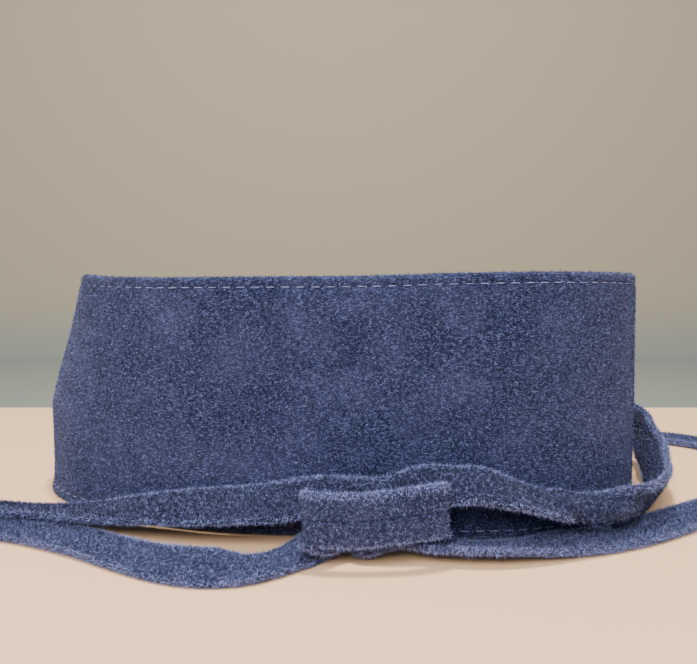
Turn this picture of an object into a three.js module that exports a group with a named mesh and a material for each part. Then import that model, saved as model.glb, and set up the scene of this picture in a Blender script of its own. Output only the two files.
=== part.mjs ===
// A suede wrap belt, closed and standing on its lower edge: a wide front panel whose ends taper
// towards the back, and two narrow ties sewn to those ends, crossed and looped in front of it.
// Millimetres, +Z up, +X to the right as seen from the front, +Y from the front to the back.
import * as THREE from "three";

// Driving dimensions
const PANEL_WALL = 1.9; // one layer of suede with its backing
const HEM_WALL = 2.9; // where the edge is turned to the inside
const HEM_DEPTH = 7.5; // how far the turned edge reaches in from the panel's edge
const STITCH_INSET = 3.9; // the hem's stitch line, from the panel's edge
const STITCH_PINCH = 0.35; // how far the stitch line draws the face in
const RIM_ROUND = 0.6; // rounding of the panel's upper and lower edge
const LEAN_FROM = 38; // the height above which the left bend leans inwards
const LEAN_CURVE = 1.15; // how gradually that lean sets in
const HEM_SPLAY = 0.08; // how far the lower hem splays at a bend, as a share of its lean
const HEM_SHARE = 0.3; // the most of the panel's height that a hem takes at its narrow ends
const FACE_PARTS = [0.23, 0.46, 0.64, 0.82]; // rows of the panel's face between its two hems
const TIE_WIDTH = 19;
const TIE_THICK = 2.8; // folded double, with both edges meeting along the middle of one side
const TIE_ROUND = 1.1; // rounding of the tie's two folds
const TIE_CORNER = 0.3; // how far a fold's shoulder lies in from its outermost line
const TIE_SHOULDER = 0.7; // the shoulder's share of half the thickness
const SEAM_WIDTH = 1.3; // the groove where a tie's two edges meet
const SEAM_DEPTH = 0.7;
const STEP = 5.6; // length between two sections, at most
const LEAST_STEPS = 2; // sections between two rows of a table, at least
const SHELF_GAP = 0.15; // the ties clear the shelf by this

// The panel's outer face, from its left tip along the front to its right tip.
// x, y: the foot of the wall; foot, top: heights of its two edges; lean: how far the top leans in.
const PANEL_ROWS = [
  { x: -62, y: 131, foot: 38, top: 58, lean: 0 },
  { x: -92, y: 127, foot: 24, top: 72, lean: 2 },
  { x: -119, y: 114, foot: 9, top: 86, lean: 8 },
  { x: -134.3, y: 95, foot: 1, top: 95.5, lean: 14 },
  { x: -137.3, y: 77, foot: 0, top: 97, lean: 18 },
  { x: -131, y: 58.5, foot: 0, top: 97.3, lean: 16 },
  { x: -120, y: 43.5, foot: 0, top: 97.5, lean: 10 },
  { x: -104, y: 31, foot: 0, top: 97.6, lean: 5 },
  { x: -79, y: 17.5, foot: 0, top: 97.8, lean: 2 },
  { x: -42, y: 7, foot: 0, top: 98.6, lean: 0 },
  { x: 0, y: 3.5, foot: 0, top: 99, lean: 0 },
  { x: 43, y: -0.4, foot: 0, top: 100.3, lean: 0 },
  { x: 70, y: 2.4, foot: 0, top: 100.8, lean: 0 },
  { x: 95, y: 11.5, foot: 0, top: 100.3, lean: 0 },
  { x: 111.5, y: 24, foot: 0, top: 99.3, lean: 0 },
  { x: 120.5, y: 40, foot: 0, top: 98.5, lean: 0 },
  { x: 125, y: 60, foot: 5, top: 92, lean: 0 },
  { x: 125.6, y: 80, foot: 18, top: 80, lean: 0 },
  { x: 122.3, y: 98, foot: 30, top: 67, lean: 0 },
  { x: 117, y: 114, foot: 38, top: 58, lean: 0 },
];

// Each tie's middle line, from the panel's end to its free end. low, high: degrees that its lower
// and its upper half tip from upright to the left of the way it runs.
const LEFT_TIE_ROWS = [
  { x: -80, y: 132.2, z: 47, low: 0, high: 0 },
  { x: -60, y: 135, z: 46.5, low: 0, high: 0 },
  { x: -30, y: 140, z: 43, low: 0, high: 0 },
  { x: 5, y: 142, z: 37, low: 0, high: 0 },
  { x: 40, y: 140, z: 31, low: 0, high: 0 },
  { x: 75, y: 136, z: 26, low: 0, high: 0 },
  { x: 105, y: 127, z: 23, low: 0, high: 0 },
  { x: 128, y: 116, z: 21.8, low: 3, high: 3 },
  { x: 143.5, y: 99.5, z: 22, low: 5, high: 5 },
  { x: 144.5, y: 88, z: 20.5, low: 15, high: 15 },
  { x: 141.5, y: 77, z: 18.5, low: 19, high: 19 },
  { x: 139, y: 67, z: 16.5, low: 20, high: 20 },
  { x: 136, y: 53.5, z: 14.5, low: 25, high: 25 },
  { x: 131, y: 40, z: 13, low: 27, high: 27 },
  { x: 126, y: 27, z: 12.6, low: 29, high: 29 },
  { x: 119.9, y: 16.6, z: 12.3, low: 31, high: 30 },
  { x: 112.5, y: 8, z: 11.8, low: 42, high: 24 },
  { x: 105.5, y: 0.4, z: 11.2, low: 56, high: -18 },
  { x: 100, y: -4, z: 11.6, low: 58, high: -50 },
  { x: 94, y: -5.6, z: 12.8, low: 46, high: -60 },
  { x: 91, y: -6, z: 14.2, low: 6, high: -65 },
  { x: 87.5, y: -5.8, z: 14.2, low: -42, high: -68 },
  { x: 77.3, y: -6.5, z: 16.5, low: -71, high: -71 },
  { x: 66, y: -9, z: 19.5, low: -74, high: -74 },
  { x: 54.3, y: -11.5, z: 23.6, low: -70, high: -70 },
  { x: 45, y: -11, z: 25.3, low: -68, high: -68 },
  { x: 30, y: -8, z: 22.5, low: -35, high: -35 },
  { x: 15, y: -8, z: 18.5, low: -38, high: -38 },
  { x: -3, y: -6, z: 20.2, low: -52, high: -52 },
  { x: -13, y: -4.6, z: 20.2, low: -55, high: -55 },
  { x: -23.8, y: -4.9, z: 18.8, low: -60, high: -60 },
  { x: -39, y: -3.8, z: 16.9, low: -65, high: -65 },
  { x: -52, y: -2.2, z: 15.2, low: -67, high: -67 },
  { x: -79, y: 4.8, z: 11.4, low: -76, high: -76 },
  { x: -96.5, y: 11, z: 7.8, low: -86, high: -86 },
  { x: -115, y: 18.8, z: 5, low: -98, high: -98 },
  { x: -131, y: 22.2, z: 4.2, low: -101, high: -101 },
  { x: -150, y: 26.5, z: 4.1, low: -101, high: -101 },
  { x: -166, y: 29, z: 4.1, low: -101, high: -101 },
];
const RIGHT_TIE_ROWS = [
  { x: 127.9, y: 84, z: 48, low: 0, high: 0 },
  { x: 125.4, y: 98, z: 48, low: 0, high: 0 },
  { x: 120.7, y: 113, z: 47.5, low: 0, high: 0 },
  { x: 115, y: 128, z: 43, low: 0, high: 0 },
  { x: 110, y: 142, z: 34, low: -10, high: -10 },
  { x: 111, y: 154, z: 22, low: -35, high: -35 },
  { x: 120, y: 161, z: 11, low: -65, high: -65 },
  { x: 136, y: 160, z: 4, low: -88, high: -88 },
  { x: 160, y: 152, z: 1.9, low: -90, high: -90 },
  { x: 184, y: 143, z: 1.9, low: -90, high: -90 },
  { x: 200, y: 127, z: 1.9, low: -90, high: -90 },
  { x: 207, y: 104, z: 1.9, low: -90, high: -90 },
  { x: 204, y: 82, z: 1.9, low: -90, high: -90 },
  { x: 193, y: 62, z: 1.9, low: -90, high: -90 },
  { x: 177, y: 47, z: 1.9, low: -90, high: -90 },
  { x: 157, y: 34, z: 1.9, low: -90, high: -90 },
  { x: 138, y: 22, z: 1.9, low: -90, high: -90 },
  { x: 122, y: 11.5, z: 1.9, low: -90, high: -90 },
  { x: 108, y: 3.2, z: 1.9, low: -90, high: -90 },
  { x: 98, y: -1.4, z: 1.9, low: -90, high: -90 },
  { x: 90, y: -4.4, z: 2, low: -88, high: -91 },
  { x: 80, y: -7.1, z: 4.8, low: -63, high: -100 },
  { x: 67.7, y: -8.8, z: 5.4, low: -58, high: -104 },
  { x: 54, y: -10.8, z: 5.2, low: -60, high: -115 },
  { x: 43, y: -11.1, z: 5.2, low: -60, high: -115 },
  { x: 31.5, y: -11, z: 5, low: -60, high: -110 },
  { x: 20, y: -8.8, z: 5.8, low: -75, high: -75 },
  { x: 9, y: -8, z: 7, low: -70, high: -70 },
  { x: 0, y: -9.6, z: 7.6, low: -64, high: -64 },
  { x: -6, y: -13.8, z: 6.9, low: -66, high: -66 },
  { x: -10.4, y: -19.6, z: 9, low: -54, high: -54 },
  { x: -13.4, y: -23.4, z: 13.8, low: -22, high: -22 },
  { x: -12.4, y: -26.4, z: 17.3, low: 0, high: 0 },
  { x: -5.5, y: -27.7, z: 17.5, low: 0, high: 0 },
  { x: 5, y: -28, z: 17.6, low: 0, high: 0 },
  { x: 18, y: -27, z: 18.2, low: 0, high: 0 },
  { x: 28, y: -24.5, z: 19, low: 0, high: 0 },
  { x: 34.8, y: -21.8, z: 19.8, low: 0, high: 0 },
  { x: 32.6, y: -18.2, z: 20.6, low: 0, high: 0 },
  { x: 27, y: -17.6, z: 20.4, low: 0, high: 0 },
  { x: 20, y: -18.6, z: 18, low: 0, high: 0 },
  { x: 12, y: -20, z: 15.6, low: 0, high: 0 },
  { x: 4, y: -21.3, z: 14.4, low: -8, high: -8 },
  { x: -3, y: -21.3, z: 11.4, low: -34, high: -34 },
  { x: -10, y: -20, z: 6.2, low: -75, high: -75 },
  { x: -19, y: -19.8, z: 2.8, low: -98, high: -98 },
  { x: -27, y: -24, z: 2.4, low: -95, high: -95 },
  { x: -36, y: -29.5, z: 2.6, low: -84, high: -84 },
  { x: -47.5, y: -31, z: 3.6, low: -75, high: -75 },
  { x: -60, y: -27.5, z: 3.2, low: -77, high: -77 },
  { x: -74, y: -20, z: 2.5, low: -84, high: -84 },
  { x: -94, y: -7.6, z: 2, low: -89, high: -89 },
  { x: -108, y: -0.4, z: 1.9, low: -90, high: -90 },
  { x: -122, y: 5.6, z: 1.9, low: -90, high: -90 },
  { x: -140, y: 10.5, z: 1.9, low: -90, high: -90 },
  { x: -158, y: 13, z: 1.9, low: -90, high: -90 },
];

// One column between two rows of a table, smooth and without overshoot.
function between(rows, span, part, column) {
  const value = (row) => rows[THREE.MathUtils.clamp(row, 0, rows.length - 1)][column];
  const gain = (row) => value(row + 1) - value(row);
  const mean = (p, q) => (p * q > 0 ? (2 * p * q) / (p + q) : 0);
  const leave = mean(gain(span - 1), gain(span));
  const reach = mean(gain(span), gain(span + 1));
  const rest = 1 - part;
  const blend = part * part * (3 - 2 * part);
  const swing = part * rest * (leave * rest - reach * part);
  return value(span) + blend * gain(span) + swing;
}

// Sections along a table's smooth line, each with its place, its direction and its columns.
function sectionsAlong(rows, columns) {
  const places = rows.map((row) => new THREE.Vector3(row.x, row.y, row.z ?? 0));
  const line = new THREE.CatmullRomCurve3(places, false, "centripetal");
  const sections = [];
  const add = (span, part) => {
    const u = (span + part) / (rows.length - 1);
    const section = { at: line.getPoint(u), run: line.getTangent(u) };
    for (const column of columns) section[column] = between(rows, span, part, column);
    sections.push(section);
  };
  for (let span = 0; span + 1 < rows.length; span += 1) {
    const gap = places[span].distanceTo(places[span + 1]);
    const steps = Math.max(LEAST_STEPS, Math.round(gap / STEP));
    for (let step = 0; step < steps; step += 1) add(span, step / steps);
  }
  add(rows.length - 2, 1);
  return sections;
}

// A closed body from rings of points: quads between neighbouring rings and a flat cap at each end.
function loft(rings) {
  const size = rings[0].length;
  const position = rings.flat().flatMap(({ x, y, z }) => [x, y, z]);
  const index = [];
  for (let ring = 0; ring + 1 < rings.length; ring += 1) {
    for (let side = 0; side < size; side += 1) {
      const a = ring * size + side;
      const b = ring * size + ((side + 1) % size);
      index.push(a, b + size, b, a, a + size, b + size);
    }
  }
  const last = (rings.length - 1) * size;
  const flat = rings[0].map(({ flatX, flatY }) => new THREE.Vector2(flatX, flatY));
  for (const corners of THREE.ShapeUtils.triangulateShape(flat, [])) {
    const [a, b, c] = corners.toSorted((p, q) => p - q);
    index.push(a, b, c, last + c, last + b, last + a);
  }
  const geometry = new THREE.BufferGeometry();
  geometry.setAttribute("position", new THREE.Float32BufferAttribute(position, 3));
  geometry.setIndex(index);
  geometry.computeVertexNormals();
  return geometry;
}

// The panel's wall, once round: out is the distance out of its face, up the height above the shelf.
function wallSection({ foot, top }) {
  const tall = top - foot;
  const hem = Math.min(HEM_DEPTH, HEM_SHARE * tall);
  const stitch = (STITCH_INSET / HEM_DEPTH) * hem;
  const rows = FACE_PARTS.map((part) => foot + hem + part * (tall - 2 * hem));
  return [
    { out: -HEM_WALL + RIM_ROUND, up: foot },
    { out: -RIM_ROUND, up: foot },
    { out: 0, up: foot + RIM_ROUND },
    { out: -STITCH_PINCH, up: foot + stitch },
    { out: 0, up: foot + hem },
    ...rows.map((up) => ({ out: 0, up })),
    { out: 0, up: top - hem },
    { out: -STITCH_PINCH, up: top - stitch },
    { out: 0, up: top - RIM_ROUND },
    { out: -RIM_ROUND, up: top },
    { out: -HEM_WALL + RIM_ROUND, up: top },
    { out: -HEM_WALL, up: top - RIM_ROUND },
    { out: -HEM_WALL, up: top - hem },
    ...rows.toReversed().map((up) => ({ out: -PANEL_WALL, up })),
    { out: -HEM_WALL, up: foot + hem },
    { out: -HEM_WALL, up: foot + RIM_ROUND },
  ];
}

function panelGeometry() {
  const rings = sectionsAlong(PANEL_ROWS, ["foot", "top", "lean"]).map((section) => {
    const { at, run, foot, top, lean } = section;
    return wallSection(section).map(({ out, up }) => {
      const above = Math.max(0, (up - LEAN_FROM) / (top - LEAN_FROM));
      const tip = lean * above ** LEAN_CURVE;
      const splay = HEM_SPLAY * lean * Math.max(0, 1 - (up - foot) / HEM_DEPTH);
      const reach = out - tip + splay;
      return { x: at.x + run.y * reach, y: at.y - run.x * reach, z: up, flatX: out, flatY: up };
    });
  });
  return loft(rings);
}

// A tie's flat section, once round: across from its lower to its upper edge, face out of its left.
function tieSection(seamSide) {
  const half = TIE_WIDTH / 2;
  const thick = TIE_THICK / 2;
  const shoulder = TIE_SHOULDER * thick;
  const groove = [SEAM_WIDTH / 2, 0, -SEAM_WIDTH / 2].map((across) => ({
    across,
    face: across ? thick : thick - SEAM_DEPTH,
  }));
  const plain = [{ across: 0, face: thick }];
  const turned = (points) => points.map(({ across, face }) => ({ across: -across, face: -face }));
  const halfRound = (middle) => [
    { across: half - TIE_ROUND, face: thick },
    ...middle,
    { across: -half + TIE_ROUND, face: thick },
    { across: -half + TIE_CORNER, face: shoulder },
    { across: -half, face: 0 },
    { across: -half + TIE_CORNER, face: -shoulder },
  ];
  const leftSide = halfRound(seamSide === "left" ? groove : plain);
  return [...leftSide, ...turned(halfRound(seamSide === "right" ? groove : plain))];
}

function tieGeometry(rows, seamSide) {
  const flat = tieSection(seamSide);
  const rings = sectionsAlong(rows, ["low", "high"]).map(({ at, run, low, high }) => {
    const up = new THREE.Vector3(0, 0, 1).addScaledVector(run, -run.z).normalize();
    const left = new THREE.Vector3().crossVectors(up, run).normalize();
    const middle = (low + high) / 2;
    return flat.map(({ across, face }) => {
      const tip = across > 0 ? high : across < 0 ? low : middle;
      const turn = THREE.MathUtils.degToRad(tip);
      const rise = across * Math.cos(turn) - face * Math.sin(turn);
      const reach = across * Math.sin(turn) + face * Math.cos(turn);
      const { x, y, z } = at.clone().addScaledVector(up, rise).addScaledVector(left, reach);
      return { x, y, z: Math.max(z, SHELF_GAP), flatX: across, flatY: face };
    });
  });
  return loft(rings);
}

function piece(name, geometry, color) {
  const suede = new THREE.MeshStandardMaterial({ color, roughness: 0.95, metalness: 0 });
  const mesh = new THREE.Mesh(geometry, suede);
  mesh.name = name;
  return mesh;
}

// The whole belt stands on z = 0, with the middle of its bounding box over the origin.
const standing = new THREE.Group();
standing.add(piece("panel", panelGeometry(), 0x434a72));
standing.add(piece("left_tie", tieGeometry(LEFT_TIE_ROWS, "left"), 0x4b5280));
standing.add(piece("right_tie", tieGeometry(RIGHT_TIE_ROWS, "right"), 0x4b5280));
const middle = new THREE.Box3().setFromObject(standing).getCenter(new THREE.Vector3());
standing.position.set(-middle.x, -middle.y, 0);

const belt = new THREE.Group();
belt.add(standing);

export default belt;
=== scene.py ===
# A blue suede wrap belt standing on its lower edge on a pale shelf. Metres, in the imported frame.
import math

import bpy
import numpy as np
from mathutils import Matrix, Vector


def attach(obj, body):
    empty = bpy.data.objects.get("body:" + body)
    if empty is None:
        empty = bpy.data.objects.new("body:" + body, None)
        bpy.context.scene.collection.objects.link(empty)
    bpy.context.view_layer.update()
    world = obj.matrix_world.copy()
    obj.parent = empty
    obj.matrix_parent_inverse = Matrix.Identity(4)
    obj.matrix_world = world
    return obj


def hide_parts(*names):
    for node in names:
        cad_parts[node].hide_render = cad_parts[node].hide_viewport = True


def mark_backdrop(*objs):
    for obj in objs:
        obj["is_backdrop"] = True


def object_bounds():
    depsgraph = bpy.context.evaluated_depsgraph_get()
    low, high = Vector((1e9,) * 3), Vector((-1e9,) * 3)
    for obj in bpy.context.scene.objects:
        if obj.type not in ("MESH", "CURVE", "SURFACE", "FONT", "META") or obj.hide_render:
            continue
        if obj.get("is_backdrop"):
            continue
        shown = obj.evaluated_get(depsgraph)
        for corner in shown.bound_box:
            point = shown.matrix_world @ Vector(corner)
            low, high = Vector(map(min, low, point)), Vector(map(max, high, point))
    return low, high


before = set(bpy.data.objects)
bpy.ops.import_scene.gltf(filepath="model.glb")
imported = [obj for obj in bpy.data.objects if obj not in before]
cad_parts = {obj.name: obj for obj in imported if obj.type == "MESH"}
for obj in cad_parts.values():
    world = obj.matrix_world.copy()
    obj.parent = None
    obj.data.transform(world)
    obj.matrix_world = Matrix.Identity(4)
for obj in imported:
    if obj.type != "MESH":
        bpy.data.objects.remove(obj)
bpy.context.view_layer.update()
bpy.ops.object.select_all(action="DESELECT")
rng = np.random.default_rng(7)

# Camera: a little above the belt, looking slightly down at the front panel.
# The tables below are in millimetres from the middle of the panel's foot, and middle moves them
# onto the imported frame, whose origin is the middle of the belt's footprint.
middle = np.array([24.579, 65.255, 0.0])
picture_width, focal_pixels = 697, 750.0
camera_place = np.array([0.0, -270.4, 109.5])
camera_dips = 6.466
camera_data = bpy.data.cameras.new("camera")
camera_data.sensor_width = 36.0
camera_data.lens = camera_data.sensor_width * focal_pixels / picture_width
camera_data.clip_start, camera_data.clip_end = 0.01, 20.0
camera = bpy.data.objects.new("camera", camera_data)
camera.location = Vector((camera_place - middle) / 1000)
camera.rotation_euler = (math.radians(90 - camera_dips), 0.0, 0.0)
bpy.context.collection.objects.link(camera)
bpy.context.scene.camera = camera

# Panel: one long piece of suede, 100 mm high at the front, whose upper and lower edge are folded
# inwards and sewn down. It bends round both sides and tapers towards its two ends at the back.
# x, y: foot of the outer face; foot, top: heights of the two edges; lean: how far the top leans in.
panel_rows = np.array([
    (-62, 131, 38, 58, 0),
    (-92, 127, 24, 72, 2),
    (-119, 114, 9, 86, 8),
    (-134.3, 95, 1, 95.5, 14),
    (-137, 77, 0, 96, 19),
    (-131.6, 57.6, 0, 96.9, 17),
    (-120.6, 42.8, 0, 97.4, 10.5),
    (-104, 31, 0, 97.6, 5),
    (-79, 17.5, 0, 97.8, 2),
    (-42, 7, 0, 98.6, 0),
    (0, 3.5, 0, 99, 0),
    (43, -0.4, 0, 100.3, 0),
    (70, 2.4, 0, 100.6, 0),
    (95, 11.5, 0, 100.1, 0.8),
    (111.5, 24, 0, 99.2, 2),
    (120.5, 40, 0, 98.3, 2.6),
    (125, 60, 5, 92, 2),
    (125.6, 80, 18, 80, 1),
    (122.3, 98, 30, 67, 0),
    (117, 114, 38, 58, 0),
], float)


def along(rows, places, step):
    """Points, directions and smooth columns every step millimetres along a table's line."""
    points = rows[:, :places]
    ends = np.vstack([2 * points[0] - points[1], points, 2 * points[-1] - points[-2]])
    gain = np.diff(rows[:, places:], axis=0)
    last = len(rows) - 1
    made_points, made_values = [], []
    for span in range(last):
        a, b, c, d = ends[span:span + 4]
        gap_a, gap_b, gap_c = (math.sqrt(np.linalg.norm(q - p)) for p, q in ((a, b), (b, c), (c, d)))
        leave = gap_b * ((b - a) / gap_a - (c - a) / (gap_a + gap_b) + (c - b) / gap_b)
        reach = gap_b * ((c - b) / gap_b - (d - b) / (gap_b + gap_c) + (d - c) / gap_c)
        count = max(2, round(np.linalg.norm(c - b) / step))
        steps = np.arange(count + (span == last - 1)) / count
        t = steps[:, None]
        curve = (2 * t**3 - 3 * t**2 + 1) * b + (t**3 - 2 * t**2 + t) * leave
        made_points.append(curve + (3 * t**2 - 2 * t**3) * c + (t**3 - t**2) * reach)
        before, here, after = gain[max(span - 1, 0)], gain[span], gain[min(span + 1, last - 1)]
        before = before if span > 0 else np.zeros_like(here)
        after = after if span < last - 1 else np.zeros_like(here)
        slopes = []
        for p, q in ((before, here), (here, after)):
            same = p * q > 0
            slopes.append(np.where(same, 2 * p * q / np.where(same, p + q, 1), 0))
        swing = t * (1 - t) * (slopes[0] * (1 - t) - slopes[1] * t)
        made_values.append(rows[span, places:] + t * t * (3 - 2 * t) * here + swing)
    line = np.vstack(made_points)
    run = np.gradient(line, axis=0)
    run /= np.linalg.norm(run, axis=1, keepdims=True)
    return line, run, np.vstack(made_values)


def mesh_piece(name, rings):
    """A closed mesh from rings of points in millimetres: walls between rings and two end caps."""
    count, size = rings.shape[:2]
    points = (rings.reshape(-1, 3) - middle) / 1000
    ring, side = np.meshgrid(np.arange(count - 1), np.arange(size), indexing="ij")
    a = (ring * size + side).ravel()
    b = (ring * size + (side + 1) % size).ravel()
    faces = np.stack([a, a + size, b + size, b], axis=1).tolist()
    faces.append(list(range(size)))
    faces.append(list(range(count * size - 1, (count - 1) * size - 1, -1)))
    mesh = bpy.data.meshes.new(name)
    mesh.from_pydata(points.tolist(), [], faces)
    mesh.update()
    mesh.polygons.foreach_set("use_smooth", [True] * len(mesh.polygons))
    piece = bpy.data.objects.new(name, mesh)
    bpy.context.collection.objects.link(piece)
    return piece


def smooth_noise(count_a, count_b, cell_a, cell_b):
    """A grid of smooth random values from -1 to 1, with features cell_a by cell_b steps wide."""
    coarse_a, coarse_b = int(count_a / cell_a) + 3, int(count_b / cell_b) + 3
    coarse = rng.uniform(-1, 1, (coarse_a, coarse_b))
    a = np.linspace(0, coarse_a - 1.001, count_a)
    b = np.linspace(0, coarse_b - 1.001, count_b)
    low_a, low_b = a.astype(int), b.astype(int)
    part_a, part_b = (a - low_a)[:, None], (b - low_b)[None, :]
    part_a, part_b = (p * p * (3 - 2 * p) for p in (part_a, part_b))
    first = coarse[low_a][:, low_b] * (1 - part_b) + coarse[low_a][:, low_b + 1] * part_b
    second = coarse[low_a + 1][:, low_b] * (1 - part_b) + coarse[low_a + 1][:, low_b + 1] * part_b
    return first * (1 - part_a) + second * part_a


wall, hem_wall = 1.9, 3.0
hem_depth, hem_share = 7.5, 0.3
stitch_inset = 3.9
lean_from, lean_curve, foot_splay = 38.0, 1.15, 0.08
panel_step = 2.0
line, run, values = along(panel_rows, 2, panel_step)
outwards = np.stack([run[:, 1], -run[:, 0]], axis=1)
foot, top, lean = values.T
tall = top - foot
hem = np.minimum(hem_depth, hem_share * tall)
stitch = hem * stitch_inset / hem_depth


def panel_place(index, out, up):
    """Points on the panel's wall: out millimetres outside its face, at a height up."""
    above = np.clip((up - lean_from) / (top[index] - lean_from), 0, None) ** lean_curve
    splay = foot_splay * lean[index] * np.clip(1 - (up - foot[index]) / hem_depth, 0, None)
    reach = out - lean[index] * above + splay
    flat = line[index] + outwards[index] * reach[..., None]
    return np.concatenate([flat, up[..., None]], axis=-1)


# The wall's section runs from the foot up the outer face and down the inner one. hem_bulge gives
# heights as shares of a hem, with how far out the face lies there: it is drawn in at the stitches.
edge_turn = [(math.sin(a), math.cos(a)) for a in np.radians([75, 45, 15])]
edge_round, edge_flat = hem_wall / 2, 0.75
hem_step_high, hem_step_deep = 0.5, 0.2
hem_bulge = [(0.12, 0.0), (0.26, 0.06), (0.4, -0.06), (0.47, -0.34), (0.52, -0.42), (0.57, -0.34),
             (0.64, -0.06), (0.8, 0.05), (0.95, 0.0)]
face_shares = np.linspace(0.02, 0.98, 34)
rings = []
for index in range(len(line)):
    low, high, deep = foot[index], top[index], hem[index]
    turn = [(edge_round * (1 - c) * edge_flat, edge_round * (1 - s)) for c, s in edge_turn]
    face = [low + deep + (high - low - 2 * deep) * h for h in face_shares]
    outer = [(low + h, -o) for h, o in turn]
    outer += [(low + deep * h, o) for h, o in hem_bulge]
    outer += [(h, 0.0) for h in face]
    outer += [(high - deep * h, o) for h, o in reversed(hem_bulge)]
    outer += [(high - h, -o) for h, o in reversed(turn)]
    inner = [(high - h, -hem_wall + o) for h, o in turn]
    inner += [(high - deep * h, -hem_wall - 0.5 * o) for h, o in hem_bulge]
    inner += [(high - deep, -hem_wall), (high - deep - hem_step_high, -wall - hem_step_deep)]
    inner += [(h, -wall) for h in reversed(face)]
    inner += [(low + deep + hem_step_high, -wall - hem_step_deep), (low + deep, -hem_wall)]
    inner += [(low + deep * h, -hem_wall - 0.5 * o) for h, o in reversed(hem_bulge)]
    inner += [(low + h, -hem_wall + o) for h, o in reversed(turn)]
    rings.append(outer + inner)
rings = np.array(rings)
up, out = rings[..., 0], rings[..., 1]
section_count, outer_count = rings.shape[1], len(outer)
wide_wave, small_wave, still_foot = 0.45, 0.16, 12.0
outer_wave = wide_wave * smooth_noise(len(line), outer_count, 14, 18)
outer_wave += small_wave * smooth_noise(len(line), outer_count, 5, 6)
inner_wave = np.pad(outer_wave[:, ::-1], ((0, 0), (0, section_count - 2 * outer_count)), mode="edge")
wave = np.hstack([outer_wave, inner_wave])
fade = np.clip(np.minimum(up - foot[:, None], still_foot) / still_foot, 0, 1)
indices = np.broadcast_to(np.arange(len(line))[:, None], up.shape)
panel = mesh_piece("front_panel", panel_place(indices, out + wave * fade, up))
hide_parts("panel")


def suede(name, dark, middle_tone, light, strength, sheen):
    """Brushed suede: short nap that catches the light in streaks, with lighter rubbed patches."""
    material = bpy.data.materials.new(name)
    material.use_nodes = True
    nodes, links = material.node_tree.nodes, material.node_tree.links
    shader = nodes["Principled BSDF"]
    shader.inputs["Roughness"].default_value = 0.96
    shader.inputs["Specular IOR Level"].default_value = 0.12
    shader.inputs["Sheen Weight"].default_value = sheen
    shader.inputs["Sheen Roughness"].default_value = 0.45
    shader.inputs["Sheen Tint"].default_value = (0.62, 0.66, 0.95, 1)
    place = nodes.new("ShaderNodeTexCoord")

    def noise(scale, detail, roughness, stretch=(1, 1, 1)):
        mapping = nodes.new("ShaderNodeMapping")
        mapping.inputs["Scale"].default_value = stretch
        texture = nodes.new("ShaderNodeTexNoise")
        texture.inputs["Scale"].default_value = scale
        texture.inputs["Detail"].default_value = detail
        texture.inputs["Roughness"].default_value = roughness
        links.new(place.outputs["Object"], mapping.inputs["Vector"])
        links.new(mapping.outputs["Vector"], texture.inputs["Vector"])
        return texture.outputs["Fac"]

    def mix(kind, amount, first, second):
        node = nodes.new("ShaderNodeMix")
        node.data_type = "RGBA"
        node.blend_type = kind
        for socket, value in ((node.inputs[0], amount), (node.inputs[6], first), (node.inputs[7], second)):
            if isinstance(value, bpy.types.NodeSocket):
                links.new(value, socket)
            else:
                socket.default_value = value
        return node.outputs[2]

    def ramp(source, low, high):
        node = nodes.new("ShaderNodeMapRange")
        node.inputs["From Min"].default_value = low
        node.inputs["From Max"].default_value = high
        node.clamp = True
        links.new(source, node.inputs["Value"])
        return node.outputs["Result"]

    nap = noise(900, 5, 0.65, (1, 1, 0.7))
    streak = noise(1500, 2, 0.5, (0.5, 0.5, 1.6))
    patch = noise(55, 4, 0.55)
    wide = noise(14, 2, 0.5)
    base = mix("MIX", ramp(nap, 0.36, 0.64), dark, middle_tone)
    base = mix("MIX", ramp(streak, 0.52, 0.8), base, light)
    patched = mix("MIX", ramp(patch, 0.42, 0.75), base, light)
    base = mix("MIX", 0.22, base, patched)
    darker = mix("MULTIPLY", ramp(wide, 0.45, 0.75), base, (0.82, 0.84, 0.9, 1))
    links.new(darker, shader.inputs["Base Color"])
    bump = nodes.new("ShaderNodeBump")
    bump.inputs["Strength"].default_value = strength
    bump.inputs["Distance"].default_value = 0.0006
    height = nodes.new("ShaderNodeMath")
    height.operation = "ADD"
    links.new(nap, height.inputs[0])
    links.new(streak, height.inputs[1])
    links.new(height.outputs[0], bump.inputs["Height"])
    links.new(bump.outputs["Normal"], shader.inputs["Normal"])
    return material


panel_dark = (0.004, 0.007, 0.025, 1)
panel_tone = (0.024, 0.033, 0.092, 1)
panel_light = (0.15, 0.16, 0.34, 1)
panel_suede = suede("panel_suede", panel_dark, panel_tone, panel_light, 0.9, 0.2)
panel.data.materials.append(panel_suede)
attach(panel, "root")

# Nap: the brushed fibres of the suede, about a millimetre long, lying in all directions on both
# faces of the panel and standing out as a soft fuzz along its edges. A few stray ones stand up.
stray_share, stray_rise, stray_longer = 0.08, (0.8, 1.35), 1.5
length_spread, width_spread = (0.45, 1.0), (0.6, 1.3)
root_depth = 0.00005


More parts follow.
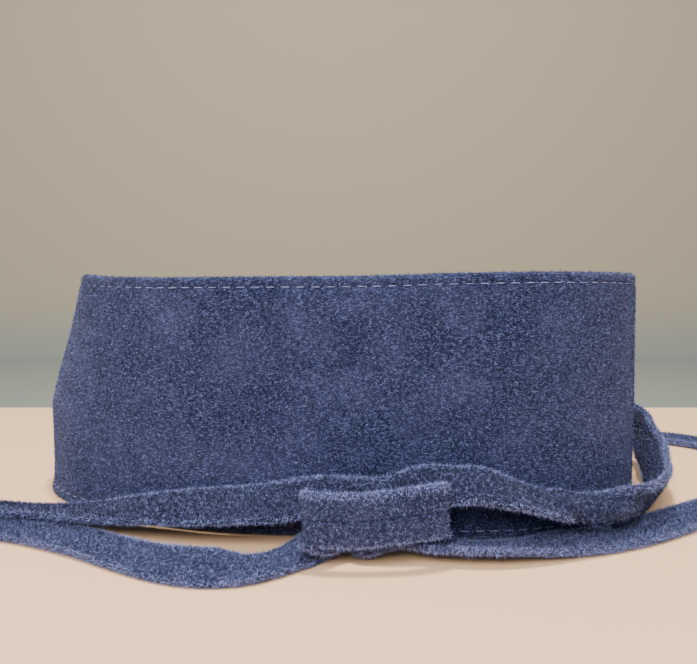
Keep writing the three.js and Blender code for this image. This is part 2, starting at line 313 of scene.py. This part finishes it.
def nap(name, piece, count, length, width, lift, material, share=None, lighter=None):
    """Fibres on a piece, each one thin triangle with a tone of its own, spread over its faces.

    share and lighter take face numbers and give how many fibres grow there and how light they are.
    """
    mesh = piece.data
    mesh.calc_loop_triangles()
    places = np.empty(len(mesh.vertices) * 3)
    mesh.vertices.foreach_get("co", places)
    places = places.reshape(-1, 3)
    corners = np.empty(len(mesh.loop_triangles) * 3, np.int32)
    mesh.loop_triangles.foreach_get("vertices", corners)
    faces = np.empty(len(mesh.loop_triangles), np.int32)
    mesh.loop_triangles.foreach_get("polygon_index", faces)
    a, b, c = (places[corners.reshape(-1, 3)[:, i]] for i in range(3))
    across = np.cross(b - a, c - a)
    area = np.linalg.norm(across, axis=1)
    chance = area if share is None else area * share(faces)
    chosen = rng.choice(len(area), count, p=chance / chance.sum())
    u, v = rng.random(count), rng.random(count)
    u, v = np.where(u + v > 1, 1 - u, u), np.where(u + v > 1, 1 - v, v)
    root = a[chosen] + u[:, None] * (b - a)[chosen] + v[:, None] * (c - a)[chosen]
    normal = across[chosen] / area[chosen][:, None]
    lay = rng.normal(size=(count, 3))
    lay -= normal * (lay * normal).sum(1)[:, None]
    lay /= np.linalg.norm(lay, axis=1)[:, None] + 1e-12
    side = np.cross(normal, lay)
    stray = rng.random(count) < stray_share
    rise = np.where(stray, rng.uniform(*stray_rise, count), rng.uniform(*lift, count))[:, None]
    long = (length * rng.uniform(*length_spread, count) * np.where(stray, stray_longer, 1.0))[:, None]
    tip = root + long * (lay * np.cos(rise) + normal * np.sin(rise))
    broad = width * rng.uniform(*width_spread, count)[:, None] / 2
    sunk = root - normal * root_depth
    points = np.stack([sunk - side * broad, sunk + side * broad, tip], axis=1).reshape(-1, 3)
    points[:, 2] = np.maximum(points[:, 2], root_depth)
    fibres = bpy.data.meshes.new(name)
    fibres.vertices.add(3 * count)
    fibres.vertices.foreach_set("co", points.ravel())
    fibres.loops.add(3 * count)
    fibres.loops.foreach_set("vertex_index", np.arange(3 * count, dtype=np.int32))
    fibres.polygons.add(count)
    fibres.polygons.foreach_set("loop_start", np.arange(0, 3 * count, 3, dtype=np.int32))
    fibres.update(calc_edges=True)
    tone = fibres.attributes.new("tone", "FLOAT", "FACE")
    tones = rng.random(count) + (0 if lighter is None else lighter(faces[chosen]))
    tone.data.foreach_set("value", tones.astype(np.float32))
    fibres.materials.append(material)
    made = bpy.data.objects.new(name, fibres)
    bpy.context.collection.objects.link(made)
    return made


def fibre(name, dark, light, sheen):
    """Single suede fibres, each a little lighter or darker than the next."""
    material = bpy.data.materials.new(name)
    material.use_nodes = True
    nodes, links = material.node_tree.nodes, material.node_tree.links
    shader = nodes["Principled BSDF"]
    shader.inputs["Roughness"].default_value = 0.85
    shader.inputs["Specular IOR Level"].default_value = 0.15
    shader.inputs["Sheen Weight"].default_value = sheen
    shader.inputs["Sheen Tint"].default_value = (0.65, 0.68, 0.95, 1)
    place = nodes.new("ShaderNodeTexCoord")
    tuft = nodes.new("ShaderNodeTexNoise")
    tuft.inputs["Scale"].default_value = 800
    tuft.inputs["Detail"].default_value = 2
    tone = nodes.new("ShaderNodeAttribute")
    tone.attribute_name = "tone"
    both = nodes.new("ShaderNodeMath")
    both.operation = "MULTIPLY_ADD"
    both.inputs[1].default_value = 0.3
    spread = nodes.new("ShaderNodeMapRange")
    spread.inputs["From Min"].default_value = 0.56
    spread.inputs["From Max"].default_value = 0.84
    blend = nodes.new("ShaderNodeMix")
    blend.data_type = "RGBA"
    blend.inputs[6].default_value = dark
    blend.inputs[7].default_value = light
    links.new(place.outputs["Object"], tuft.inputs["Vector"])
    links.new(tone.outputs["Fac"], both.inputs[0])
    links.new(tuft.outputs["Fac"], both.inputs[2])
    links.new(both.outputs[0], spread.inputs["Value"])
    links.new(spread.outputs["Result"], blend.inputs[0])
    links.new(blend.outputs[2], shader.inputs["Base Color"])
    return material


def outside(faces):
    """1 for the faces of the panel's outer side and its two edges, 0 for the inner side."""
    return faces % section_count < outer_count + len(edge_turn)


panel_fibre = fibre("panel_fibre", (0.004, 0.008, 0.029, 1), (0.21, 0.245, 0.54, 1), 0.12)
panel_nap = nap("panel_nap", panel, count=198000, length=0.0011, width=0.00019, lift=(0.25, 1.0),
                material=panel_fibre, share=outside)
inner_nap = nap("panel_inner_nap", panel, count=90000, length=0.0014, width=0.00024, lift=(0.2, 0.9),
                material=panel_fibre, share=lambda faces: 1 - outside(faces))
for fuzz in (panel_nap, inner_nap):
    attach(fuzz, "root")

# Hem stitching: one straight line of sewing thread along the upper and the lower hem, drawn into
# the nap, seen on the outside and on the inside of the panel.
stitch_long, stitch_pitch, thread = 3.3, 5.6, 0.17
first_stitch, last_stitch = 6.0, 10
upper_face, lower_face, inner_face = 0.12, -0.05, -hem_wall - 0.15
thread_material = bpy.data.materials.new("hem_thread")
thread_material.use_nodes = True
thread_shader = thread_material.node_tree.nodes["Principled BSDF"]
thread_shader.inputs["Roughness"].default_value = 0.55
thread_shader.inputs["Sheen Weight"].default_value = 0.3
twist = thread_material.node_tree.nodes.new("ShaderNodeTexNoise")
twist.inputs["Scale"].default_value = 2600
twist_mix = thread_material.node_tree.nodes.new("ShaderNodeMix")
twist_mix.data_type = "RGBA"
twist_mix.inputs[6].default_value = (0.10, 0.11, 0.24, 1)
twist_mix.inputs[7].default_value = (0.36, 0.38, 0.68, 1)
twist_place = thread_material.node_tree.nodes.new("ShaderNodeTexCoord")
thread_links = thread_material.node_tree.links
thread_links.new(twist_place.outputs["Object"], twist.inputs["Vector"])
thread_links.new(twist.outputs["Fac"], twist_mix.inputs[0])
thread_links.new(twist_mix.outputs[2], thread_shader.inputs["Base Color"])


def stitches(name, starts, ends, faces_out, radius, material):
    """Short lengths of thread that dip into the suede at both ends, all in one mesh."""
    shares = np.array([0.0, 0.12, 0.3, 0.5, 0.7, 0.88, 1.0])
    swell = np.array([-1.15, -0.1, 0.28, 0.38, 0.28, -0.1, -1.15])
    thin = np.array([0.5, 0.85, 1, 1, 1, 0.85, 0.5])
    sides = 6
    turns = np.radians(np.arange(0, 360, 360 // sides))
    length = ends - starts
    away = faces_out / np.linalg.norm(faces_out, axis=1)[:, None]
    side = np.cross(length, away)
    side /= np.linalg.norm(side, axis=1)[:, None]
    core = starts[:, None] + shares[None, :, None] * length[:, None]
    core = core + away[:, None] * (swell * radius)[None, :, None]
    ring = np.cos(turns)[:, None, None] * side[None] + np.sin(turns)[:, None, None] * away[None]
    points = core[:, :, None] + (radius * thin)[None, :, None, None] * ring.transpose(1, 0, 2)[:, None]
    points = (points.reshape(-1, 3) - middle) / 1000
    last_ring = (len(shares) - 1) * sides
    faces = []
    for stitch_index in range(len(starts)):
        first = stitch_index * len(shares) * sides
        for ring_start in range(first, first + last_ring, sides):
            for turn in range(sides):
                p = ring_start + turn
                q = ring_start + (turn + 1) % sides
                faces.append((p, q, q + sides, p + sides))
        faces.append(tuple(first + turn for turn in reversed(range(sides))))
        faces.append(tuple(first + last_ring + turn for turn in range(sides)))
    mesh = bpy.data.meshes.new(name)
    mesh.from_pydata(points.tolist(), [], faces)
    mesh.update()
    mesh.polygons.foreach_set("use_smooth", [True] * len(mesh.polygons))
    mesh.materials.append(material)
    made = bpy.data.objects.new(name, mesh)
    bpy.context.collection.objects.link(made)
    return made


length_along = np.concatenate([[0], np.cumsum(np.linalg.norm(np.diff(line, axis=0), axis=1))])
stitch_from = np.arange(first_stitch, length_along[-1] - last_stitch, stitch_pitch)


def on_panel(distance, upper, out):
    """Places on a hem's stitch line, and which way the panel faces there."""
    index = np.interp(distance, length_along, np.arange(len(line)))
    low = index.astype(int)
    part = (index - low)[:, None]
    pair = []
    for i in (low, np.minimum(low + 1, len(line) - 1)):
        up = top[i] - stitch[i] if upper else foot[i] + stitch[i]
        pair.append(panel_place(i, out, up))
    facing = np.concatenate([outwards[low], np.zeros((len(low), 1))], axis=1)
    return pair[0] * (1 - part) + pair[1] * part, facing


for name, upper, inside in (("upper_stitches", True, False), ("lower_stitches", False, False),
                            ("upper_stitches_inside", True, True), ("lower_stitches_inside", False, True)):
    face = inner_face if inside else upper_face if upper else lower_face
    uneven = 0.15 * rng.random(len(stitch_from))
    patches = np.clip(smooth_noise(len(stitch_from), 1, 9, 1)[:, 0], 0, 1)
    buried = uneven + 0.5 * patches
    depth = face + buried * (1 if inside else -1)
    from_places, facing = on_panel(stitch_from + rng.uniform(-0.2, 0.2, len(depth)), upper, depth)
    to_places, facing = on_panel(stitch_from + stitch_long, upper, depth)
    row = stitches(name, from_places, to_places, -facing if inside else facing, thread, thread_material)
    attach(row, "root")

# Ties: strips of the same suede, 19 mm wide, folded double so that both cut edges meet along the
# middle of one face and are drawn together by a seam. Each is sewn to an end of the panel.
# x, y, z: middle line; low, high: degrees that the lower and the upper half tip to the left;
# curl: degrees that the lower edge rolls under besides, where a tie twists over.
left_tie_rows = np.array([
    (-80, 132.2, 47, 0, 0, 0), (-60, 135, 46.5, 0, 0, 0), (-30, 140, 43, 0, 0, 0),
    (5, 142, 37, 0, 0, 0), (40, 140, 31, 0, 0, 0), (75, 136, 26, 0, 0, 0), (105, 127, 23, 0, 0, 0),
    (127, 116, 21.8, 3, 3, 0), (142, 99.5, 22, 5, 5, 0), (143, 88, 20.5, 15, 15, 0),
    (140.4, 77, 18.5, 19, 19, 0), (139, 67, 16.5, 20, 20, 0), (136, 53.5, 14.5, 25, 25, 0),
    (131, 40, 13, 27, 27, 0), (126, 27, 12.6, 29, 29, 0), (119.9, 16.6, 12.3, 31, 30, 0),
    (112.5, 8, 11.8, 42, 24, 0), (105.5, 0.4, 11.4, 56, -18, 65), (100, -4, 12.2, 58, -50, 115),
    (94, -5.6, 13, 46, -62, 135), (91, -6, 14.2, 12, -72, 135), (87.5, -5.8, 14.8, -36, -80, 112),
    (83.6, -6, 16.2, -54, -85, 100), (79.5, -6.3, 17.7, -73, -88, 40), (75, -6.7, 17, -74, -80, 0),
    (65, -9.2, 19.9, -75, -75, 0), (54.3, -11.5, 23.6, -70, -70, 0), (46, -11, 25.3, -68, -68, 0),
    (38, -9.8, 24.7, -65, -65, 0), (28, -8.2, 23, -46, -46, 0), (15, -8, 18, -38, -38, 0),
    (-3, -6, 18.8, -80, -54, 0), (-13, -4.6, 18.6, -68, -58, 0), (-23.8, -4.9, 17.3, -62, -62, 0),
    (-39, -3.8, 15.6, -66, -66, 0), (-52, -2.2, 14.4, -67, -67, 0), (-79, 4.8, 10.9, -76, -76, 0),
    (-96.5, 11, 7.8, -86, -86, 0), (-115, 18.8, 5, -98, -98, 0), (-131, 22.2, 4.2, -101, -101, 0),
    (-150, 26.5, 4.1, -101, -101, 0), (-166, 29, 4.1, -101, -101, 0),
], float)
right_tie_rows = np.array([
    (127.9, 84, 48, 0, 0, 0), (125.4, 98, 48, 0, 0, 0), (120.7, 113, 47.5, 0, 0, 0),
    (115, 128, 43, 0, 0, 0), (110, 142, 34, -10, -10, 0), (111, 154, 22, -35, -35, 0),
    (120, 161, 11, -65, -65, 0), (136, 160, 4, -88, -88, 0), (160, 152, 1.9, -90, -90, 0),
    (184, 143, 1.9, -90, -90, 0), (200, 127, 1.9, -90, -90, 0), (207, 104, 1.9, -90, -90, 0),
    (204, 82, 1.9, -90, -90, 0), (193, 62, 1.9, -90, -90, 0), (177, 47, 1.9, -90, -90, 0),
    (157, 34, 1.9, -90, -90, 0), (138, 22, 1.9, -90, -90, 0), (122, 11.5, 1.9, -90, -90, 0),
    (108, 3.2, 1.9, -90, -90, 0), (98, -1.4, 1.9, -90, -90, 0), (90, -4.4, 2, -88, -91, 0),
    (80, -8, 3.4, -84, -96, 0), (67.7, -12, 3.3, -95, -102, 0), (54, -15.2, 3.8, -103, -105, 0),
    (43, -15.4, 4, -104, -106, 0), (31.5, -14, 5, -97, -104, 0), (20, -11, 7.5, -84, -84, 0),
    (9, -9, 9, -70, -70, 0), (0, -9.8, 9.4, -62, -62, 0), (-6, -13.4, 10, -50, -84, 0),
    (-10.8, -19.4, 12.6, -30, -36, 0), (-14, -22.9, 17, -8, -8, 0), (-12.8, -26.3, 18.2, 0, 0, 0),
    (-5.5, -27.7, 18.3, 0, 0, 0), (5, -28, 18.5, 0, 0, 0), (18, -27, 19.6, 0, 0, 0),
    (28, -24.5, 20, 0, 0, 0), (33, -21.8, 19.8, 0, 0, 0), (30.4, -19.2, 18.6, 0, 0, 0),
    (26, -19.2, 17.2, 0, 0, 0), (19, -19.8, 16, 0, 0, 0), (12, -19.6, 14, 0, 0, 0),
    (5, -18, 11.8, -12, -16, 0), (0, -14.6, 11, -34, -80, 60), (-6, -13.8, 9.2, -62, -90, 95),
    (-13, -14.8, 5.8, -82, -98, 70), (-20.5, -19.2, 3.5, -92, -107, 25), (-28, -24.8, 2.7, -90, -100, 10),
    (-36, -29.5, 2.6, -84, -84, 0), (-47.5, -31, 3.6, -75, -75, 0), (-60, -27.5, 3.2, -77, -77, 0),
    (-74, -20, 2.5, -84, -84, 0), (-94, -7.6, 2, -89, -89, 0), (-108, -0.4, 1.9, -90, -90, 0),
    (-122, 5.6, 1.9, -90, -90, 0), (-140, 10.5, 1.9, -90, -90, 0), (-158, 13, 1.9, -90, -90, 0),
], float)
tie_width, tie_thick, tie_step = 19.0, 2.8, 1.3
fold_round, crown_fall = 1.3, 0.12
seam_reach, seam_half = 1.6, 0.6
lip_high, lip_place, lip_wide = 0.22, 0.85, 0.4
groove_deep, groove_wide = 0.75, 0.32
tilt_change, curl_from, curl_over = 5.0, 2.4, 2.5
least_height = 0.15
# Painted highlight on the tie fibres near both folds: strong on the upper fold, where light from above
# falls, faint on the lower one.
fold_highlight_from, fold_highlight_over, upper_fold_highlight, lower_fold_highlight = 6.3, 2.2, 0.75, 0.05


def tie(name, rows, seams):
    """A doubled strip swept along its middle line, with rounded folds and a sewn seam."""
    line, run, tips = along(rows, 3, tie_step)
    half, thick = tie_width / 2, tie_thick / 2
    across = np.concatenate([np.linspace(-half + fold_round, -seam_reach, 11),
                             [-1.1, -0.7, -0.35, 0, 0.35, 0.7, 1.1],
                             np.linspace(seam_reach, half - fold_round, 11)])
    crown = thick * (1 - crown_fall * (across / half) ** 4)
    lips = lip_high * np.exp(-((np.abs(across) - lip_place) / lip_wide) ** 2)
    seam = lips - groove_deep * np.exp(-(across / groove_wide) ** 2)
    left, right = crown + seam * seams[0], crown + seam * seams[1]
    turn = np.radians([65, 35, 0, -35, -65])
    fold = [(half - fold_round + fold_round * math.cos(t), thick * 0.94 * math.sin(t)) for t in turn]
    section = list(zip(across[::-1], left[::-1])) + [(-a, f) for a, f in fold]
    section += list(zip(across, -right)) + [(a, -f) for a, f in fold]
    count = len(line)
    low, high, curl = (np.radians(tips[:, i:i + 1]) for i in range(3))
    fine = np.linspace(-half, half, 115)
    share = np.clip(fine / tilt_change + 0.5, 0, 1)
    share = share * share * (3 - 2 * share)
    angle = low + (high - low) * share + curl * np.clip((-fine - curl_from) / curl_over, 0, 1)
    step = fine[1] - fine[0]
    reach = np.cumsum(np.sin(angle), axis=1) * step
    rise = np.cumsum(np.cos(angle), axis=1) * step
    centre = len(fine) // 2
    reach -= reach[:, centre:centre + 1]
    rise -= rise[:, centre:centre + 1]
    up = np.array([0, 0, 1.0]) - run * run[:, 2:]
    up /= np.linalg.norm(up, axis=1)[:, None]
    leftwards = np.cross(up, run)
    bulge = 0.13 * smooth_noise(count, len(section), 9, 14) + 0.3 * smooth_noise(count, 1, 22, 1)
    rings = np.empty((count, len(section), 3))
    for j, (a, f) in enumerate(section):
        place_r = np.array([np.interp(a, fine, reach[i]) for i in range(count)])
        place_u = np.array([np.interp(a, fine, rise[i]) for i in range(count)])
        tilt = np.array([np.interp(a, fine, angle[i]) for i in range(count)])
        face = f * (1 + 0.1 * bulge[:, j])
        side = place_r + face * np.cos(tilt)
        high_up = place_u - face * np.sin(tilt)
        rings[:, j] = line + up * high_up[:, None] + leftwards * side[:, None]
    rings[..., 2] = np.maximum(rings[..., 2], least_height)
    ends = np.full(len(fold), half)
    sides = np.concatenate([across[::-1], ends, across, ends])
    drawn = np.repeat([seams[0], 0, seams[1], 0], [len(across), len(fold)] * 2)
    open_share = np.where((np.abs(sides) < seam_half) & (drawn > 0), 0.3, 1.0)
    # Painted highlight: fibres near the folds are made lighter, most on the upper fold that faces the
    # light from above.
    near_fold = np.clip((np.abs(sides) - fold_highlight_from) / fold_highlight_over, 0, 1)
    painted_fold_highlight = near_fold * np.where(sides > 0, upper_fold_highlight, lower_fold_highlight)
    return mesh_piece(name, rings), line, open_share, painted_fold_highlight


# The left strip is given a darker tone than the right one. On both, the nap carries painted shade on the
# faces, set per strip below, and a painted highlight along the upper fold, where light from above falls.
tie_tones = {"left_tie": 0.46, "right_tie": 0.78}
painted_face_shade = {"left_tie": 0.3, "right_tie": 0.16}
tie_dark, tie_middle, tie_light = (0.009, 0.014, 0.046), (0.043, 0.055, 0.140), (0.15, 0.17, 0.35)
fibre_dark, fibre_light, fibre_tone = (0.009, 0.014, 0.052), (0.285, 0.325, 0.67), 0.86


def shade(color, tone):
    """A colour made lighter or darker."""
    return tuple(tone * part for part in color) + (1,)


for name, node, rows, seams in (("left_tie_strip", "left_tie", left_tie_rows, (0, 1)),
                                ("right_tie_strip", "right_tie", right_tie_rows, (0.8, 1))):
    tone = tie_tones[node]
    strip_suede = suede(node + "_suede", shade(tie_dark, tone), shade(tie_middle, tone),
                        shade(tie_light, tone), 0.9, 0.2)
    strip_fibre = fibre(node + "_fibre", shade(fibre_dark, tone), shade(fibre_light, fibre_tone), 0.12)
    strip, tie_line, open_share, painted_fold_highlight = tie(name, rows, seams)
    strip.data.materials.append(strip_suede)
    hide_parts(node)
    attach(strip, "root")
    # The fibres' tone carries the painted highlight along the folds, less the painted shade on the faces.
    fuzz = nap(node + "_nap", strip, count=190000, length=0.0016, width=0.00017, lift=(0.3, 1.15),
               material=strip_fibre, share=lambda faces: open_share[faces % len(open_share)],
               lighter=lambda faces: painted_fold_highlight[faces % len(painted_fold_highlight)] - painted_face_shade[node])
    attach(fuzz, "root")

# Shelf and wall: a plain pale board under the belt, with a grey ground below it and a plain wall
# far behind it, all in matt paint.
wall_turns = (-0.075, 0.06)
shelf_size, shelf_middle = (3.0, 0.34, 0.02), -0.0101
ground_height, backdrop_place, stage_size = -0.06, (0, 0.8, 0.5), 6


def plain(name, color, low_color, roughness):
    """Matt paint that turns slowly into a second colour towards the foot of the wall."""
    material = bpy.data.materials.new(name)
    material.use_nodes = True
    nodes, links = material.node_tree.nodes, material.node_tree.links
    shader = nodes["Principled BSDF"]
    shader.inputs["Roughness"].default_value = roughness
    place = nodes.new("ShaderNodeTexCoord")
    parts = nodes.new("ShaderNodeSeparateXYZ")
    height = nodes.new("ShaderNodeMapRange")
    height.interpolation_type = "SMOOTHSTEP"
    height.inputs["From Min"].default_value = wall_turns[0]
    height.inputs["From Max"].default_value = wall_turns[1]
    blend = nodes.new("ShaderNodeMix")
    blend.data_type = "RGBA"
    blend.inputs[6].default_value = low_color
    blend.inputs[7].default_value = color
    links.new(place.outputs["Object"], parts.inputs[0])
    links.new(parts.outputs["Z"], height.inputs["Value"])
    links.new(height.outputs["Result"], blend.inputs[0])
    links.new(blend.outputs[2], shader.inputs["Base Color"])
    return material


bpy.ops.mesh.primitive_cube_add(size=1, location=(0, 0, shelf_middle), scale=shelf_size)
shelf = bpy.context.active_object
shelf.name = "shelf"
bpy.ops.object.transform_apply(location=True, rotation=True, scale=True)
bpy.ops.mesh.primitive_plane_add(size=stage_size, location=(0, 0, ground_height))
ground = bpy.context.active_object
ground.name = "ground"
bpy.ops.object.transform_apply(location=True, rotation=True, scale=True)
bpy.ops.mesh.primitive_plane_add(size=stage_size, location=backdrop_place,
                                 rotation=(math.radians(90), 0, 0))
backdrop = bpy.context.active_object
backdrop.name = "backdrop"
bpy.ops.object.transform_apply(location=True, rotation=True, scale=True)
board_color = (0.96, 0.63, 0.37, 1)
ground_color = (0.29, 0.315, 0.28, 1)
shelf.data.materials.append(plain("pale_board", board_color, board_color, 0.6))
ground.data.materials.append(plain("grey_ground", ground_color, ground_color, 0.8))
backdrop.data.materials.append(plain("grey_wall", (0.43, 0.365, 0.26, 1), ground_color, 0.9))
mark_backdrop(shelf, ground, backdrop)

# Light: a small soft warm light overhead, a broad soft one from the front, halfway up, and a
# slightly blue light from the room all round.


def soft_light(name, place, aim, size, power, color):
    """A round lamp at a place, turned to face a point."""
    light = bpy.data.lights.new(name, "AREA")
    light.shape = "DISK"
    light.size = size
    light.energy = power
    light.color = color
    lamp = bpy.data.objects.new(name, light)
    lamp.location = place
    lamp.rotation_euler = (Vector(aim) - Vector(place)).to_track_quat("-Z", "Y").to_euler()
    bpy.context.collection.objects.link(lamp)


soft_light("key", (-0.04, -0.05, 1.0), (0, -0.03, 0), 0.13, 11.5, (1, 0.95, 0.88))
soft_light("fill", (-0.25, -1.0, 0.85), (0, 0, 0.03), 0.7, 22, (1, 0.96, 0.92))
world = bpy.data.worlds.new("room")
world.use_nodes = True
room_light = world.node_tree.nodes["Background"]
room_light.inputs["Color"].default_value = (0.78, 0.87, 1, 1)
room_light.inputs["Strength"].default_value = 0.58
bpy.context.scene.world = world

low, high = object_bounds()
